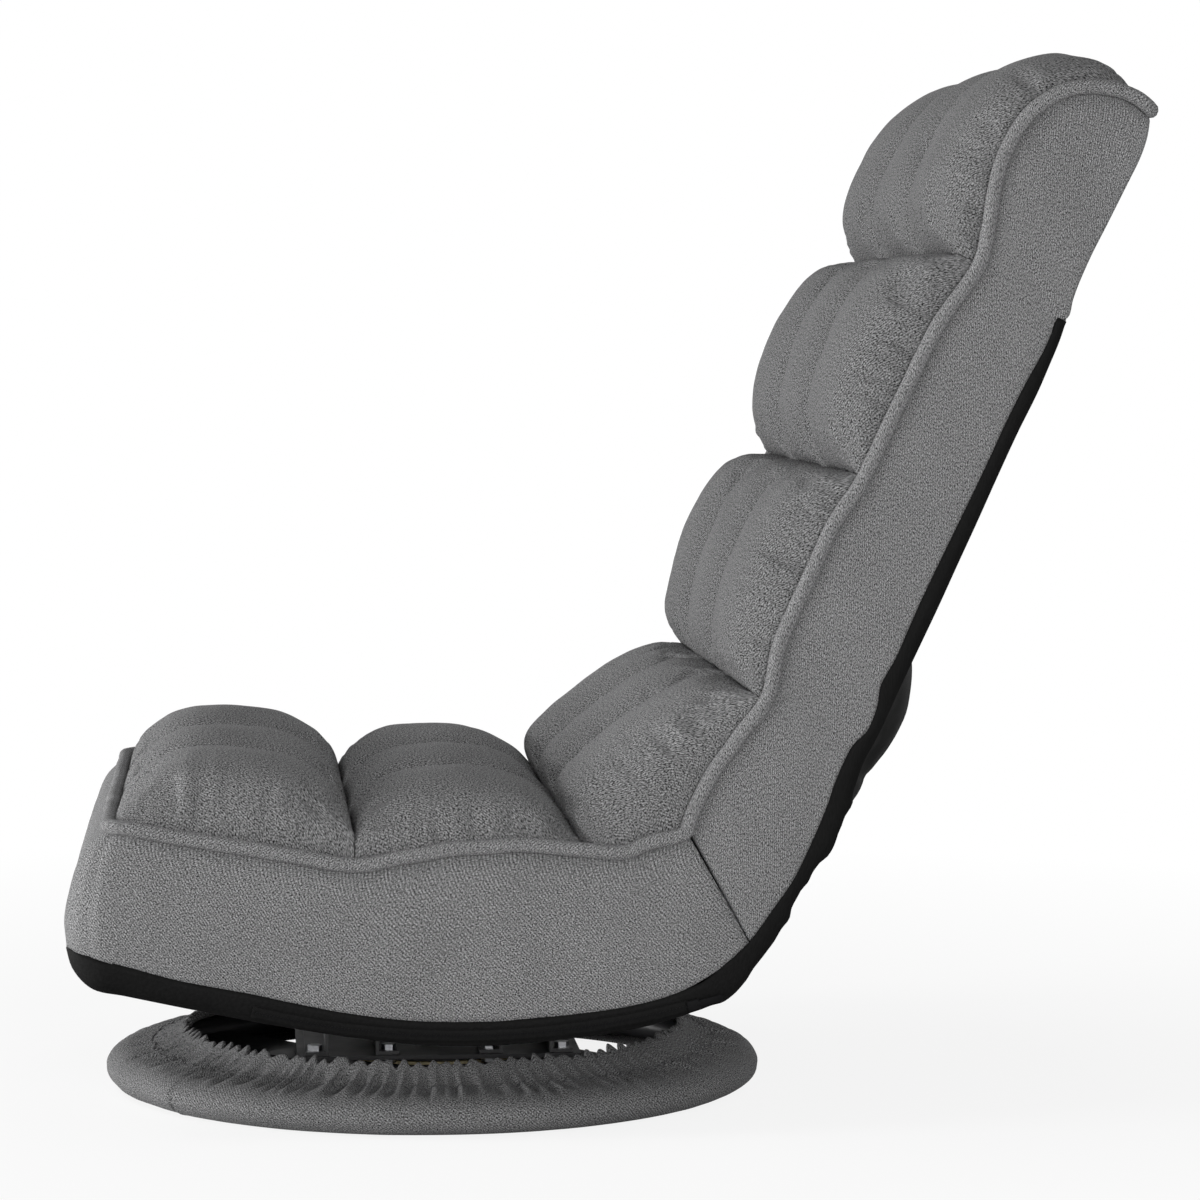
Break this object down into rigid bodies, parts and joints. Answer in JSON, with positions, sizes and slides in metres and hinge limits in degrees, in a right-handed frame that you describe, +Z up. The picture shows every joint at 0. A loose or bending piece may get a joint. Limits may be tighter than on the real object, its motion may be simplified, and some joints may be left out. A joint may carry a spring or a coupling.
{
  "type": "swivel floor chair",
  "caption": "Padded legless floor chair with a tufted folding seat and back that recline on ratchet hinges and turn on a fabric-covered ring base.",
  "frame": {"origin": "on the floor at the centre of the ring base, on the swivel axis", "axes": "+Z up along the swivel axis, +X from the front of the seat towards the backrest, +Y across the chair to the sitter's right"},
  "size_m": [0.7764, 0.5291, 0.7891],
  "materials": {
    "grey_fabric": "heathered twill weave",
    "black_lining": "smooth dark lining",
    "zip_tape": "woven tape with coil teeth",
    "zip_metal": "black painted",
    "foam": "open-cell foam",
    "elastic": "covered elastic",
    "frame_black": "black powder coat",
    "zinc_plate": "zinc plated",
    "fasteners": "zinc plated",
    "ball_steel": "polished",
    "cage_plastic": "moulded",
    "hinge_steel": "stamped",
    "webbing": "woven strap"
  },
  "bodies": {
    "base": {"base_ring_tube": "frame_black", "base_cross_bars": "frame_black", "base_ring_foam": "foam", "base_ring_cover": "grey_fabric", "base_hem_elastic": "elastic", "swivel_lower_plate": "zinc_plate", "base_bolts": "fasteners", "base_nuts": "fasteners", "king_pin": "fasteners"},
    "bearing_cage": {"ball_cage": "cage_plastic", "bearing_balls": "ball_steel"},
    "seat": {"swivel_upper_plate": "zinc_plate", "seat_risers": "frame_black", "riser_screws": "fasteners", "riser_nuts": "fasteners", "seat_bolts": "fasteners", "seat_nuts": "fasteners", "seat_cross_tubes": "frame_black", "seat_side_rails": "frame_black", "seat_front_tube": "frame_black", "seat_rear_tube": "frame_black", "seat_webbing": "webbing", "hinge_cheeks": "hinge_steel", "hinge_rivets": "fasteners", "pawl_pins": "fasteners", "pawl_springs": "hinge_steel", "seat_foam": "foam", "seat_lining": "black_lining", "seat_panels": "grey_fabric", "seat_piping": "grey_fabric", "seat_zip": "zip_tape", "zip_slider": "zip_metal", "front_seat_pads": "grey_fabric", "rear_seat_pads": "grey_fabric", "crook_pads": "grey_fabric", "crook_panels": "grey_fabric", "crook_piping": "grey_fabric", "hinge_gaiter": "black_lining"},
    "pawl_pair": {"pawls": "hinge_steel"},
    "backrest": {"hinge_sectors": "hinge_steel", "back_side_rails": "frame_black", "back_top_tube": "frame_black", "back_cross_tubes": "frame_black", "back_webbing": "webbing", "back_foam": "foam", "back_lining": "black_lining", "head_rear_panel": "grey_fabric", "back_panels": "grey_fabric", "back_piping": "grey_fabric", "lumbar_pads": "grey_fabric", "middle_pads": "grey_fabric", "head_pads": "grey_fabric", "back_lining_fold": "black_lining"}
  },
  "joints": [
    {"name": "swivel", "type": "hinge", "parent": "base", "child": "seat", "pos_m": [0, 0, 0], "axis": [0, 0, 1], "continuous": true},
    {"name": "cage_turn", "type": "hinge", "parent": "base", "child": "bearing_cage", "pos_m": [0, 0, 0], "axis": [0, 0, 1], "continuous": true},
    {"name": "recline", "type": "hinge", "parent": "seat", "child": "backrest", "pos_m": [0.208, 0, 0.152], "axis": [0, 1, 0], "range_deg": [-25.71, 64.29], "deforming": ["crook_pads", "crook_panels", "crook_piping", "hinge_gaiter"]},
    {"name": "pawl_lift", "type": "hinge", "parent": "seat", "child": "pawl_pair", "pos_m": [0.19022, 0, 0.12661], "axis": [0, 1, 0], "range_deg": [0, 7]}
  ],
  "couplings": [
    {"joint": "cage_turn", "follows": "swivel", "ratio": 0.5}
  ]
}
